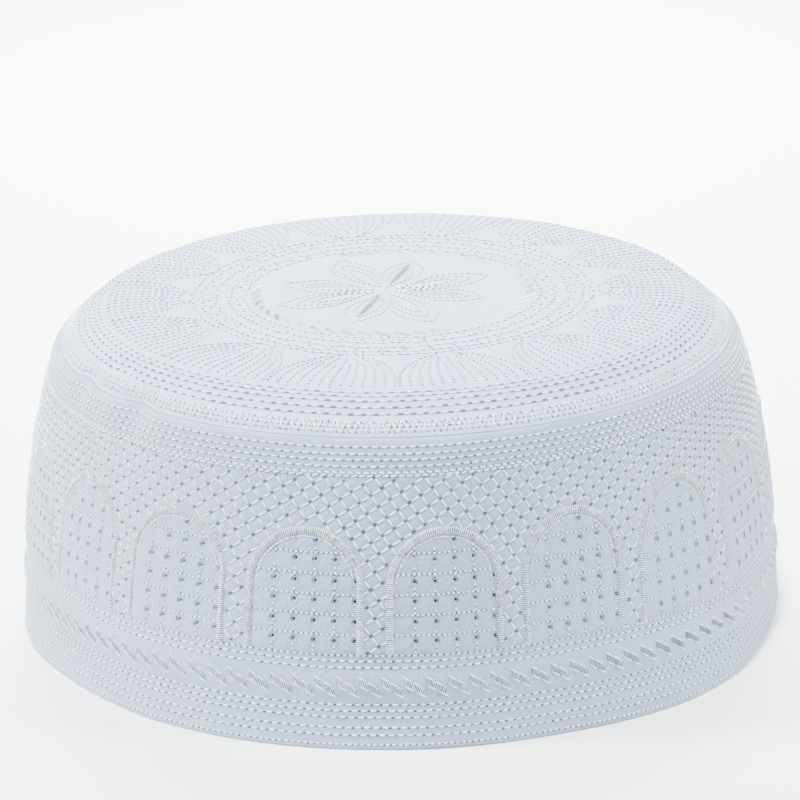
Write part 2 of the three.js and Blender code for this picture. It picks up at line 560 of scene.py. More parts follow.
def to_flat(angle, z):
    """A place's position across the lattice's two families of lines, in pitches.

    The cone is unrolled about its tip, cut at the back, and the lattice is straight on it.
    """
    angle = from_nearest(angle, 0.0, FULL_TURN)
    reach = CONE_REACH - along_at_height(z)
    x, y = reach * np.sin(angle * CONE_TURN), CONE_REACH - reach * np.cos(angle * CONE_TURN)
    sine, cosine = math.sin(LATTICE_ANGLE), math.cos(LATTICE_ANGLE)
    return (x * cosine + y * sine) / LATTICE_PITCH, (y * cosine - x * sine) / LATTICE_PITCH


def from_flat(a, b):
    """The other way: from pitches along the two families to angle, height and distance along."""
    a, b = a * LATTICE_PITCH, b * LATTICE_PITCH
    sine, cosine = math.sin(LATTICE_ANGLE), math.cos(LATTICE_ANGLE)
    x, y = a * cosine - b * sine, a * sine + b * cosine
    far = CONE_REACH - np.hypot(x, CONE_REACH - y)
    return np.arctan2(x, CONE_REACH - y) / CONE_TURN, np.interp(far, ALONG, HEIGHT), far


def band_lift(angle, z):
    """Relief of the quilted band.

    Rows dip the cloth, each arch holds pillows between its ruled lines and a dimple at each
    eyelet, the lattice holds a pillow in each cell, and the plain stretches swell a little.
    """
    angle, z = np.broadcast_arrays(np.asarray(angle, float), np.asarray(z, float))
    column = (from_nearest(angle, ARCH_FIRST, ARCH_TURN) - EYELET_MIDDLE) / EYELET_PITCH
    across = np.abs(np.sin(np.pi * column)) ** PILLOW_POWER
    rise = np.abs(np.sin(np.pi * (z - ARCH_LINES[0]) / ARCH_LINE_PITCH)) ** PILLOW_POWER
    x_gap = (column - np.round(column)) * EYELET_PITCH * REFERENCE_RADIUS
    z_gap = np.min(np.abs(z[..., None] - np.asarray(EYELET_HEIGHTS)), axis=-1)
    dimple = EYELET_DIMPLE * np.exp(-(x_gap ** 2 + z_gap ** 2) / DIMPLE_SPREAD)
    pillow = ARCH_PUFF * (PILLOW_LEAST + (1 - PILLOW_LEAST) * across) * rise - dimple
    a, b = to_flat(angle, z)
    cell = LATTICE_PUFF * np.abs(np.sin(np.pi * a) * np.sin(np.pi * b)) ** LATTICE_POWER
    inside = np.clip(arch_depth(angle, z) / ARCH_EDGE + 0.5, 0, 1)
    ruled = (z > FOOT_ROWS[-1]) & (z < LATTICE_ROWS[0])
    return sizes().quilting * (
        -ROW_DIP * bells(z, BAND_ROWS, ROW_WIDTH)
        + np.where(ruled, inside * pillow + (1 - inside) * cell, 0.0)
        + PLAIN_PUFF * hump((z - PLAIN_MIDDLE) / PLAIN_HALF)
        + HEM_STEP * np.clip((HEM_FOLD - z) / HEM_EDGE + 0.5, 0, 1)
        + soft_waves(angle * 2.3, z * 3, 3, DRAG) * hump((z - DRAG_MIDDLE) / DRAG_HALF)
        + soft_waves(angle, z, 5, BAND_WAVE)
    )


def fan_reach(r):
    """Half width of a fan in radians at a radius: near a half ellipse, closed at its tip."""
    share = np.clip((FAN_FOOT - r) / (FAN_FOOT - FAN_TIP), 0, 1)
    return FAN_TURN / 2 * FAN_FILL * (1 - share ** 2) ** 0.55


def crown_lift(x, y):
    """Relief of the quilted crown.

    Rows of stitches dip the cloth, the plain triangles between the fans and the plain ring round
    the rosette swell, and each fan has shallow flutes between its lines.
    """
    r = np.hypot(x, y)
    angle = np.arctan2(x, -y)
    reach = fan_reach(r)
    offset = np.abs(from_nearest(angle, FAN_FIRST, FAN_TURN))
    share = offset / np.maximum(reach, 1e-3)
    flute = FAN_FLUTE * np.abs(np.sin(np.pi * share * (FAN_LINES - 1) / 2)) ** CROWN_POWER
    bare = CROWN_PUFF * np.clip((offset - reach) * r / BARE_EDGE, 0, 1) ** CROWN_POWER
    bare *= np.clip((r - FAN_TIP) / BARE_TIP, 0, 1)
    in_fans = (r > FAN_TIP) & (r < FAN_END)
    return sizes().quilting * (
        -ROW_DIP * bells(r, CROWN_ROWS, ROW_WIDTH)
        + np.where(in_fans, np.where(offset < reach, flute, bare), 0.0)
        + CROWN_PUFF * hump((r - RING_PUFF_MIDDLE) / RING_PUFF_HALF)
        + soft_waves(angle, r * 3, 8, CROWN_WAVE) * np.clip(r / CALM_RADIUS, 0, 1)
    )


def on_wall(places):
    """Chart of the wall: (x, z) to points on the relief, and their normals."""
    angle = places[..., 0] / REFERENCE_RADIUS
    z = places[..., 1]
    return on_cap(*settled(angle, along_at_height(z)), band_lift(angle, z))


def on_crown(places):
    """Chart of the crown: (x, y) to points on the relief, and their normals."""
    x, y = places[..., 0], places[..., 1]
    return on_cap(np.arctan2(x, -y), along_at_radius(np.hypot(x, y)), crown_lift(x, y))


def on_edge(places):
    """Chart of the crown's turned-down edge: (x, z) as on the wall, with the crown's relief."""
    angle = places[..., 0] / REFERENCE_RADIUS
    along = along_at_height(places[..., 1])
    r = np.interp(along, ALONG, RADIUS)
    return on_cap(angle, along, crown_lift(r * np.sin(angle), -r * np.cos(angle)))


def on_round(radius, angle, middle=(0.0, 0.0)):
    """Chart places of the crown from radii and angles round a middle."""
    return np.stack([radius * np.sin(angle), -radius * np.cos(angle)], -1) + np.array(middle)


def add_mesh(name, points, triangles, quads, uv, material, slot, nodes=()):
    """A piece from arrays: millimetre points, faces by index and one uv place for each point.

    A face whose places lie on both sides of the cut in the round gets them on one side.
    """
    mesh = bpy.data.meshes.new(name)
    corners = np.r_[np.ravel(triangles), np.ravel(quads)].astype(np.int32)
    split = len(triangles) * 3
    starts = np.r_[np.arange(len(triangles)) * 3, split + np.arange(len(quads)) * 4]
    mesh.vertices.add(len(points))
    mesh.vertices.foreach_set("co", (np.asarray(points) * MM).ravel())
    mesh.loops.add(len(corners))
    mesh.loops.foreach_set("vertex_index", corners)
    mesh.polygons.add(len(starts))
    mesh.polygons.foreach_set("loop_start", starts.astype(np.int32))
    mesh.update(calc_edges=True)
    layer = mesh.uv_layers.new(name="cloth")
    places = np.asarray(uv, float)[corners]
    once_round = FULL_TURN * REFERENCE_RADIUS
    for part, sides in ((places[:split], 3), (places[split:], 4)):
        across = part[:, 0].reshape(-1, sides)
        behind = across.max(axis=1, keepdims=True) - across > once_round / 2
        part[:, 0] += (behind * once_round).ravel()
    layer.data.foreach_set("uv", places.ravel())
    mesh.shade_smooth()
    mesh.validate()
    mesh.materials.append(material)
    piece = bpy.data.objects.new(name, mesh)
    bpy.context.scene.collection.objects.link(piece)
    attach(piece, BODY)
    if nodes:
        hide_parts(*nodes)
    return piece


def thread_arrays(chart, starts, ends, thread):
    """Stitches as small closed strands of four sides, one for each start and end on a chart.

    A strand's middle line runs straight from start to end on the chart. Its height over the
    cloth is 1.5 times rise times the square root of a sine, less half the rise, so that both tips
    dive into the cloth. Returns points, triangles, quads and uv places.
    """
    width, rise, stations = THREADS[thread]
    t = np.array(stations)
    starts = np.asarray(starts, float)
    run = np.asarray(ends, float) - starts
    count, ring = len(starts), len(t) - 2
    draw = np.random.default_rng(RNG_SEED + count)
    base, normal = chart(starts[:, None] + run[:, None] * t[:, None])
    lift = rise * (1.5 * np.maximum(np.sin(np.pi * t), 0) ** 0.5 - 0.5)
    line = base + normal * lift[:, None]
    forward = np.gradient(line, axis=1)
    forward /= np.linalg.norm(forward, axis=2)[..., None]
    sideways = np.cross(forward, normal)
    sideways /= np.linalg.norm(sideways, axis=2)[..., None]
    up = np.cross(sideways, forward)
    half = sizes().thread_width * width / 2 * draw.uniform(*THREAD_UNEVEN, (count, 1, 1))
    taper = np.where((t[1:-1] < 0.3) | (t[1:-1] > 0.7), THREAD_TAPER, 1.0)[:, None]
    wide = sideways[:, 1:-1] * half * taper
    high = up[:, 1:-1] * half * taper * THREAD_FLATNESS
    middle = line[:, 1:-1]
    rings = np.stack([middle + wide, middle + high, middle - wide, middle - high], 2)
    points = np.concatenate([line[:, :1], rings.reshape(count, -1, 3), line[:, -1:]], 1)
    a = np.arange(4)
    b = (a + 1) % 4
    last = 1 + 4 * (ring - 1)
    tips = np.vstack([
        np.stack([0 * a, 1 + a, 1 + b], 1),
        np.stack([0 * a + last + 4, last + b, last + a], 1),
    ])
    sides = np.vstack([
        np.stack([1 + 4 * k + a, 5 + 4 * k + a, 5 + 4 * k + b, 1 + 4 * k + b], 1)
        for k in range(ring - 1)
    ])
    first = (np.arange(count) * points.shape[1])[:, None, None]
    around = np.r_[0.5, np.tile(a / 4, ring), 0.5]
    down = np.linalg.norm(run, axis=1)[:, None] * np.r_[0.0, np.repeat(t[1:-1], 4), 1.0]
    uv = np.stack(np.broadcast_arrays(down, around), -1)
    return (
        points.reshape(-1, 3),
        (first + tips).reshape(-1, 3),
        (first + sides).reshape(-1, 4),
        uv.reshape(-1, 2),
    )


def shade_pit_arrays(chart, places, runs, length, width, lift):
    """Painted shade of needle pits and gaps: small dark ellipses of six points, long along their run.

    They lie at that lift over the cloth, with a middle that is a little lower. Length is one
    number or one for each. Returns points, triangles, no quads, and uv places.
    """
    places = np.asarray(places, float)
    runs = np.asarray(runs, float)
    runs = runs / np.linalg.norm(runs, axis=1)[:, None]
    across = np.stack([-runs[:, 1], runs[:, 0]], 1)
    draw = np.random.default_rng(RNG_SEED + len(places))
    size = draw.uniform(*PIT_UNEVEN, (len(places), 1, 1)) / 2
    turn = np.arange(6) * math.pi / 3
    length = np.broadcast_to(length, len(places))[:, None]
    ring = (runs[:, None] * (np.cos(turn) * length)[..., None]
            + across[:, None] * (np.sin(turn) * width)[:, None]) * size
    plan = places[:, None] + np.concatenate([0 * ring[:, :1], ring], 1)
    base, normal = chart(plan)
    points = base + normal * np.r_[lift * 0.9, np.full(6, lift)][:, None]
    a = np.arange(6)
    fan = np.stack([0 * a, 1 + a, 1 + (a + 1) % 6], 1)
    first = (np.arange(len(places)) * 7)[:, None, None]
    no_quads = np.zeros((0, 4), int)
    return points.reshape(-1, 3), (first + fan).reshape(-1, 3), no_quads, plan.reshape(-1, 2)


def shade_pits_before(chart, starts, ends, gap, pit):
    """A needle pit of painted shade in the gap before each stitch."""
    run = np.asarray(ends, float) - np.asarray(starts, float)
    way = run / np.linalg.norm(run, axis=1)[:, None]
    return shade_pit_arrays(chart, starts - way * gap / 2, way, *pit)


def joined(parts):
    """Several sets of points, triangles, quads and uv places as one."""
    base = np.cumsum([0] + [len(p[0]) for p in parts[:-1]])
    return (
        np.vstack([p[0] for p in parts]),
        np.vstack([p[1] + n for p, n in zip(parts, base)]),
        np.vstack([p[2] + n for p, n in zip(parts, base)]),
        np.vstack([p[3] for p in parts]),
    )


def row_round(radius, pitch, stitch, shift):
    """Angles where the stitches of one row round the cap start and end."""
    count = round(FULL_TURN * radius / pitch)
    middle = (np.arange(count) + shift) * FULL_TURN / count
    half = stitch / 2 / radius
    return middle - half, middle + half


def wall_row(z, pitch, stitch, slant, shift):
    """A running row on the wall: starts and ends on the wall's chart, and the gap between."""
    low, high = row_round(float(np.interp(z, HEIGHT, RADIUS)), pitch, stitch, shift)
    rise = np.full_like(low, slant / 2)
    starts = np.stack([low * REFERENCE_RADIUS, z - rise], 1)
    ends = np.stack([high * REFERENCE_RADIUS, z + rise], 1)
    return starts, ends, pitch - stitch


def stitches_on_line(points, pitch, stitch, shift=0.0):
    """Stitches at an even pitch along a polyline: starts and ends."""
    points = np.asarray(points, float)
    step = np.linalg.norm(np.diff(points, axis=0), axis=1)
    far = np.r_[0.0, np.cumsum(step)]
    count = max(int((far[-1] - shift) // pitch), 1)
    middle = shift + (np.arange(count) + 0.5) * (far[-1] - shift) / count
    return [
        np.stack([np.interp(at, far, points[:, i]) for i in range(2)], 1)
        for at in (middle - stitch / 2, middle + stitch / 2)
    ]


def closed_grid(rows, columns):
    """Quads of a grid whose rows and columns both close on themselves."""
    i, j = np.meshgrid(np.arange(rows), np.arange(columns), indexing="ij")
    k, m = (i + 1) % rows, (j + 1) % columns
    return np.stack([i * columns + j, i * columns + m, k * columns + m, k * columns + j], -1)


def heights_between(marks, step):
    """The marks with even steps of about that length between them."""
    parts = []
    for low, high in zip(marks[:-1], marks[1:]):
        count = max(round((high - low) / step), 1)
        parts.append(np.linspace(low, high, count, endpoint=False))
    return np.r_[np.concatenate(parts), marks[-1]]


def band_angles():
    """Column angles of the band's grid: even at each arch's eyelets, and wider between arches."""
    side = 2 * EYELET_PITCH
    inner = np.linspace(-side, side, 4 * EYELET_CELLS, endpoint=False)
    outer = np.linspace(side, ARCH_TURN - side, GAP_CELLS, endpoint=False)
    one = np.r_[inner, outer] + ARCH_FIRST + EYELET_MIDDLE
    return (one[None] + np.arange(ARCH_COUNT)[:, None] * ARCH_TURN).ravel()


def band_cut(thick):
    """The band's cut as two arrays round it: distance along, and depth under the outer face.

    The outer face has rows on and between its stitches and eyelets, both edges are rounded, and
    the inner face has few rows apart from those at the eyelets.
    """
    hem = [z for pair in zip(HEM_ROWS[:-1], HEM_ROWS[1:]) for z in (pair[0], sum(pair) / 2)]
    outer = np.r_[
        RIM_EDGE[0][0], hem, HEM_ROWS[-1], heights_between((12.1, 19.2), 0.9),
        FOOT_ROWS[0], 20.9, FOOT_ROWS[1], 22.4,
        heights_between((FOOT_ROWS[-1],) + EYELET_HEIGHTS, CELL_HEIGHT),
        heights_between((EYELET_HEIGHTS[-1] + 0.8, LATTICE_ROWS[0]), 0.82),
        BAND_TOP_CELLS,
    ]
    inner = list(BAND_INNER_TOP)
    for z in EYELET_HEIGHTS[::-1]:
        inner += [z + CELL_HEIGHT, z, z - CELL_HEIGHT]
    inner += BAND_INNER_FOOT
    seam = float(along_at_height(SEAM_HEIGHT)) - SEAM_HALF_GAP
    rows = [(d, share * thick) for d, share in RIM_EDGE[:0:-1]]
    rows += [(float(along_at_height(z)), 0.0) for z in np.unique(np.round(outer, 4))]
    rows += [(seam - d, share * thick) for d, share in SEAM_EDGE]
    rows += [(seam - d, (1 - share) * thick) for d, share in SEAM_EDGE[-2::-1]]
    rows += [(float(along_at_height(z)), thick) for z in inner]
    rows += [(d, (1 - share) * thick) for d, share in RIM_EDGE[:-1]]
    return np.array(rows).T


def cut_eyelets(angle, along, depth, thick):
    """Opens the band's grid at every eyelet, and moves the points round each onto a circle.

    Four cells round one grid point go from both faces, the eight points round them move, and a
    wall joins the two circles. Returns which cells are gone, and the walls' quads.
    """
    columns = angle.shape[1]
    angles, far = angle[0].copy(), along[:, 0].copy()
    around = ((-1, -1), (0, -1), (1, -1), (1, 0), (1, 1), (0, 1), (-1, 1), (-1, 0))
    after = np.roll(np.arange(len(around)), -1)
    gone = np.zeros(angle.shape, bool)
    walls = []
    for z, reach in zip(EYELET_HEIGHTS, EYELET_COLUMNS):
        across = EYELET_CELLS * (2 + np.arange(-reach, reach + 1))
        middle = (across[None] + ARCH_CELLS * np.arange(ARCH_COUNT)[:, None]).ravel()
        loops = []
        for face, flip, hole in ((0.0, 1, EYELET_RADIUS), (thick, -1, EYELET_INNER)):
            row = int(np.argmin(np.abs(far - along_at_height(z)) + 99 * (depth != face)))
            loop = []
            for dx, dz in around:
                where = (row + dz * flip, (middle + dx) % columns)
                size = hole / math.hypot(dx, dz)
                angle[where] = angles[middle] + dx * size / REFERENCE_RADIUS
                along[where] = far[row] + dz * size
                loop.append(where[0] * columns + where[1])
            loops.append(np.stack(loop, 1))
            for dr in (-1, 0):
                for dc in (-1, 0):
                    gone[row + dr, (middle + dc) % columns] = True
        wall = [loops[0], loops[1], loops[1][:, after], loops[0][:, after]]
        walls.append(np.stack(wall, -1).reshape(-1, 4))
    return gone, np.vstack(walls)


def band_cloth_arrays():
    """The side band: a closed grid of cloth with its eyelets cut through."""
    thick = sizes().cloth_thickness / MM
    far, depth = band_cut(thick)
    angle, along = np.meshgrid(band_angles(), far)
    gone, walls = cut_eyelets(angle, along, depth, thick)
    relief = band_lift(angle, np.interp(along, ALONG, HEIGHT)) * (depth == 0)[:, None]
    points = on_cap(*settled(angle, along), relief - depth[:, None])[0].reshape(-1, 3)
    quads = np.vstack([closed_grid(*angle.shape)[~gone], walls])
    uv = np.stack([angle * REFERENCE_RADIUS, along], -1).reshape(-1, 2)
    used = np.unique(quads)
    new = np.full(len(points), -1)
    new[used] = np.arange(len(used))
    return points[used], np.zeros((0, 3), int), new[quads], uv[used]


def crown_cloth_arrays():
    """The crown: a closed grid of cloth round +Z, with one shared point at each face's middle."""
    thick = sizes().cloth_thickness / MM
    seam = float(along_at_height(SEAM_HEIGHT)) + SEAM_HALF_GAP
    rings = np.r_[
        np.arange(1.2, 33.0, 1.25), RING_CELLS, heights_between((50.0, 72.5), 1.15), ROW_CELLS]
    rings = rings[along_at_radius(rings) > seam + 1.0]
    rows = [(seam + d, share * thick) for d, share in SEAM_EDGE[::-1]]
    rows += [(float(along_at_radius(r)), 0.0) for r in rings[::-1]]
    last_outer = len(rows) - 1
    rows += [(float(along_at_radius(r)), thick) for r in INNER_CELLS]
    rows += [(seam + d, (1 - share) * thick) for d, share in SEAM_EDGE[:-1]]
    far, depth = np.array(rows).T
    angle, along = np.meshgrid(np.arange(CROWN_CELLS) * FULL_TURN / CROWN_CELLS, far)
    plan = on_round(np.interp(along, ALONG, RADIUS), angle)
    relief = crown_lift(plan[..., 0], plan[..., 1]) * (depth == 0)[:, None]
    place = on_cap(angle, along, relief - depth[:, None])[0].reshape(-1, 3)
    quads = np.delete(closed_grid(len(rows), CROWN_CELLS), last_outer, axis=0).reshape(-1, 4)
    middles = np.array([[0, 0, TOP_HEIGHT], [0, 0, TOP_HEIGHT - thick]])
    j = np.arange(CROWN_CELLS)
    m = (j + 1) % CROWN_CELLS
    out_row, in_row = last_outer * CROWN_CELLS, (last_outer + 1) * CROWN_CELLS
    fans = np.vstack([
        np.stack([out_row + j, out_row + m, np.full(CROWN_CELLS, len(place))], 1),
        np.stack([in_row + m, in_row + j, np.full(CROWN_CELLS, len(place) + 1)], 1),
    ])
    return np.vstack([place, middles]), fans, quads, np.vstack([plan.reshape(-1, 2), middles[:, :2]])


def row_stitches(chart, rows, thread):
    """The stitches of a table of rows, of which each is starts, ends and the gap between."""
    return joined([thread_arrays(chart, starts, ends, thread) for starts, ends, _ in rows])


def band_rows():
    """All running rows round the band: hem, foot, the lattice's double border and the top."""
    return [wall_row(*run) for run in BAND_RUNS]


def lattice_crossings():
    """Crossings of the lattice, numbered along its two families."""
    rows = np.arange(-LATTICE_REACH, LATTICE_REACH + 1)
    a, b = np.meshgrid(rows, rows, indexing="ij")
    return a.ravel(), b.ravel()


def lattice_threads():
    """The lattice: one stitch on each side of each cell, kept where it is clear of the arches."""
    a, b = lattice_crossings()
    sets = []
    for da, db in ((1, 0), (0, 1)):
        (a0, z0, far0), (a1, z1, far1) = (
            from_flat(a + da * share, b + db * share) for share in (LATTICE_GAP, 1 - LATTICE_GAP))
        keep = (np.abs(a0) < math.pi) & (np.abs(a1) < math.pi) & (far0 > 0) & (far1 > 0)
        keep &= (np.minimum(z0, z1) > LATTICE_LOW) & (np.maximum(z0, z1) < LATTICE_HIGH)
        keep &= arch_depth((a0 + a1) / 2, (z0 + z1) / 2) < -LATTICE_CLEAR
        starts = np.stack([a0 * REFERENCE_RADIUS, z0], 1)[keep]
        ends = np.stack([a1 * REFERENCE_RADIUS, z1], 1)[keep]
        sets.append(thread_arrays(on_wall, starts, ends, "lattice"))
    return joined(sets)


def lattice_shade_pits():
    """At each crossing of the lattice, a pit of painted shade along one family and a smaller one along
    the other.
    """
    angle, z, far = from_flat(*lattice_crossings())
    keep = (np.abs(angle) < math.pi) & (far > 0) & (z > ARCH_BASE) & (z < LATTICE_ROWS[0])
    keep &= arch_depth(angle, z) < -LATTICE_PIT_CLEAR
    spots = np.stack([angle * REFERENCE_RADIUS, z], 1)[keep]
    runs = np.tile([math.cos(LATTICE_ANGLE), math.sin(LATTICE_ANGLE)], (len(spots), 1))
    return [
        shade_pit_arrays(on_wall, spots, runs, *SHADE_PITS["lattice_along"]),
        shade_pit_arrays(on_wall, spots, runs[:, ::-1] * (-1, 1), *SHADE_PITS["lattice_across"]),
    ]


def arch_moves():
    """For each arch, the step on the wall's chart from the front to its middle line."""
    x = (ARCH_FIRST + ARCH_TURN * np.arange(ARCH_COUNT)) * REFERENCE_RADIUS
    return np.stack([x, 0 * x], 1)


def arch_line(radius, count):
    """An arch's line on the wall chart, from the left foot over the head to the right foot.

    Returns count places at an even pitch, and the outward direction at each.
    """
    leg = ARCH_SPRING - ARCH_BASE
    total = 2 * leg + math.pi * radius
    far = (np.arange(count) + 0.5) * total / count
    turn = np.clip((far - leg) / radius, 0, math.pi)
    z = ARCH_SPRING + radius * np.sin(turn)
    z = np.where(far < leg, ARCH_BASE + far, z)
    z = np.where(far > total - leg, ARCH_BASE + (total - far), z)
    out = np.stack([-np.cos(turn), np.sin(turn)], 1)
    return np.stack([-radius * np.cos(turn), z], 1), out


def arch_border_threads():
    """Each arch's satin border: strands set side by side across the line, and a fine inner line."""
    parts = []
    spine, out = arch_line(ARCH_RADIUS, BORDER_STRANDS)
    across = out * BORDER_HALF + np.array([0.0, BORDER_LEAN])
    inner = arch_line(ARCH_RADIUS - INNER_LINE, INNER_LINE_STEPS)[0]
    over_spring = inner[inner[:, 1] > ARCH_SPRING]
    starts, ends = stitches_on_line(over_spring, INNER_LINE_PITCH, INNER_LINE_STITCH)
    for move in arch_moves():
        middle = spine + move
        parts.append(thread_arrays(on_wall, middle - across, middle + across, "arch_border"))
        parts.append(thread_arrays(on_wall, starts + move, ends + move, "arch_inner_line"))
    return joined(parts)


def arch_ruled_lines():
    """Starts and ends of one arch's ruled lines: its levels and uprights inside the border.

    The uprights leave out the stitches that would cross an eyelet.
    """
    radius = ARCH_RADIUS - RULED_MARGIN
    starts, ends = [], []
    for z in ARCH_LINES:
        half = math.sqrt(radius ** 2 - max(z - ARCH_SPRING, 0) ** 2)
        low, high = stitches_on_line([(-half, z), (half, z)], RULED_PITCH, RULED_LEVEL_STITCH)
        starts.append(low)
        ends.append(high)
    for x in (EYELET_MIDDLE + np.arange(-2, 3) * EYELET_PITCH) * REFERENCE_RADIUS:
        if abs(x) > radius - 0.4:
            continue
        top = ARCH_SPRING + math.sqrt(radius ** 2 - x ** 2)
        low, high = stitches_on_line([(x, ARCH_BASE), (x, top)], RULED_PITCH, RULED_UPRIGHT_STITCH)
        middle = (low[:, 1] + high[:, 1]) / 2
        clear = np.min(np.abs(middle[:, None] - np.array(EYELET_HEIGHTS)), axis=1) > EYELET_CLEAR
        starts.append(low[clear])
        ends.append(high[clear])
    return np.vstack(starts), np.vstack(ends)


def arch_ruling_threads():
    """Each arch's ruled lines as fine stitches."""
    starts, ends = arch_ruled_lines()
    return joined([
        thread_arrays(on_wall, starts + move, ends + move, "arch_ruling") for move in arch_moves()])


def eyelet_lip_arrays():
    """The whipped lip of each eyelet: a closed section of six points turned round its middle.

    The section rises over the cloth, falls into the hole as a funnel and returns under itself.
    """
    one = np.array([
        ((EYELET_MIDDLE + k * EYELET_PITCH) * REFERENCE_RADIUS, z)
        for z, reach in zip(EYELET_HEIGHTS, EYELET_COLUMNS) for k in range(-reach, reach + 1)
    ])
    places = np.vstack([one + move for move in arch_moves()])
    reach, height = np.array(LIP_SECTION).T
    sides = len(reach)
    u = np.arange(LIP_TURNS) * FULL_TURN / LIP_TURNS
    plan = np.stack([np.cos(u)[:, None] * reach, np.sin(u)[:, None] * reach], -1)
    base, normal = on_wall(places[:, None, None] + plan)
    points = base + normal * height[:, None]
    quads = closed_grid(LIP_TURNS, sides).reshape(-1, 4)
    first = (np.arange(len(places)) * LIP_TURNS * sides)[:, None, None]
    uv = np.stack(np.broadcast_arrays((u * EYELET_RADIUS)[:, None], np.arange(sides) / sides), -1)
    uv = np.tile(uv.reshape(-1, 2), (len(places), 1))
    return points.reshape(-1, 3), np.zeros((0, 3), int), (first + quads).reshape(-1, 4), uv


def block_moves():
    """For each slanted block, the step on the wall's chart from the front to it."""
    x = np.arange(BLOCK_COUNT) * FULL_TURN * REFERENCE_RADIUS / BLOCK_COUNT
    return np.stack([x, 0 * x], 1)[:, None]


def block_threads():
    """Slanted satin blocks: short rungs across each leaning bar, between two outline threads."""
    share = (np.arange(BLOCK_RUNGS) + 0.5) / BLOCK_RUNGS
    x = share * BLOCK_RUN
    top = BLOCK_TOP - share * BLOCK_FALL
    starts = np.stack([x + RUNG_FOOT, top - BLOCK_DEPTH], 1) + block_moves()
    ends = np.stack([x + RUNG_HEAD, top], 1) + block_moves()
    parts = [thread_arrays(on_wall, starts.reshape(-1, 2), ends.reshape(-1, 2), "block_rung")]
    for drop, low, high in BLOCK_EDGES:
        start, end = (
            np.array([at, BLOCK_TOP + drop - at * BLOCK_FALL / BLOCK_RUN]) + block_moves()[:, 0]
            for at in (low, high))
        parts.append(thread_arrays(on_wall, start, end, "block_edge"))
    return joined(parts)


def block_gap_shade():
    """The gaps between the rungs of each slanted block, in painted shade."""
    share = np.arange(BLOCK_RUNGS + 1) / BLOCK_RUNGS
    middle = BLOCK_TOP - share * BLOCK_FALL - BLOCK_DEPTH / 2
    spots = (np.stack([share * BLOCK_RUN + RUNG_GAP, middle], 1) + block_moves()).reshape(-1, 2)
    runs = np.tile([RUNG_HEAD - RUNG_FOOT, BLOCK_DEPTH], (len(spots), 1))
    return shade_pit_arrays(on_wall, spots, runs, *SHADE_PITS["block_rung"])


def band_shade_pits():
    """Painted shade in the pits and gaps of the band's rows, lattice, ruled lines, arch borders and
    blocks.
    """
    parts = [
        shade_pits_before(on_wall, starts, ends, gap, (gap * 1.05, BAND_PIT_WIDTH, PIT_LIFT))
        for starts, ends, gap in band_rows()
    ]
    parts += lattice_shade_pits()
    starts, ends = arch_ruled_lines()
    for move in arch_moves():
        parts.append(shade_pits_before(on_wall, starts + move, ends + move, RULED_GAP, SHADE_PITS["arch_ruling"]))
    spine, out = arch_line(ARCH_RADIUS, BORDER_STRANDS)
    between = (spine[1:] + spine[:-1]) / 2
    for move in arch_moves():
        parts.append(shade_pit_arrays(on_wall, between + move, out[1:] + out[:-1], *SHADE_PITS["arch_border"]))
    parts.append(block_gap_shade())
    return joined(parts)


def seam_threads():
    """The seam: a zigzag over the crown's turned-down edge, with three overlock rows in it."""
    pitch = FULL_TURN * REFERENCE_RADIUS / ZIGZAG_COUNT
    draw = np.random.default_rng(RNG_SEED)
    x = np.arange(ZIGZAG_COUNT) * pitch + draw.uniform(*ZIGZAG_SIDE_SCATTER, ZIGZAG_COUNT)
    low = ZIGZAG_FOOT + draw.uniform(*ZIGZAG_FOOT_SCATTER, ZIGZAG_COUNT)
    high = ZIGZAG_HEAD + draw.uniform(*ZIGZAG_HEAD_SCATTER, ZIGZAG_COUNT)
    foot = np.stack([x, low], 1)
    head = np.stack([x + pitch * ZIGZAG_LEAN, high], 1)
    after = np.roll(foot, -1, axis=0)
    after[-1, 0] += ZIGZAG_COUNT * pitch
    return joined([
        thread_arrays(on_edge, foot, head, "zigzag"),
        thread_arrays(on_edge, head, after, "zigzag"),
        row_stitches(on_edge, [wall_row(*run) for run in OVERLOCK_RUNS], "overlock"),
    ])


def crown_rows():
    """Running rows near the crown's edge: starts and ends on its chart, and the gap between."""
    rows = []
    for i, r in enumerate(CROWN_ROWS):
        low, high = row_round(r, CROWN_PITCH, CROWN_STITCH, i * CROWN_SHIFT)
        rows.append((on_round(r, low), on_round(r, high), CROWN_PITCH - CROWN_STITCH))
    return rows


def ring_rows():
    """Running rows in the ring round the rosette, a little scattered, as crown_rows gives them."""
    rows = []
    draw = np.random.default_rng(RNG_SEED)
    for i, r in enumerate(RING_ROWS):
        low, high = row_round(r, RING_PITCH, RING_STITCH, i * RING_SHIFT)
        starts, ends = (
            on_round(r, angle, RING_MIDDLE) + draw.normal(0, RING_SCATTER, (len(angle), 2))
            for angle in (low, high))
        rows.append((starts, ends, RING_PITCH - RING_STITCH))
    return rows


def rope_strands(k):
    """Starts and ends of strand k of every dash in the rope ring."""
    share = ((k + 0.5) / ROPE_STRANDS - 0.5) * ROPE_DASH
    angle = (np.arange(RING_COUNT) + 0.5) * RING_TURN + share * math.cos(ROPE_LEAN) / ROPE_RADIUS
    r = ROPE_RADIUS + share * math.sin(ROPE_LEAN)
    lean = ROPE_HALF / ROPE_RADIUS
    return (
        on_round(r - ROPE_HALF, angle + lean, RING_MIDDLE),
        on_round(r + ROPE_HALF, angle - lean, RING_MIDDLE),
    )


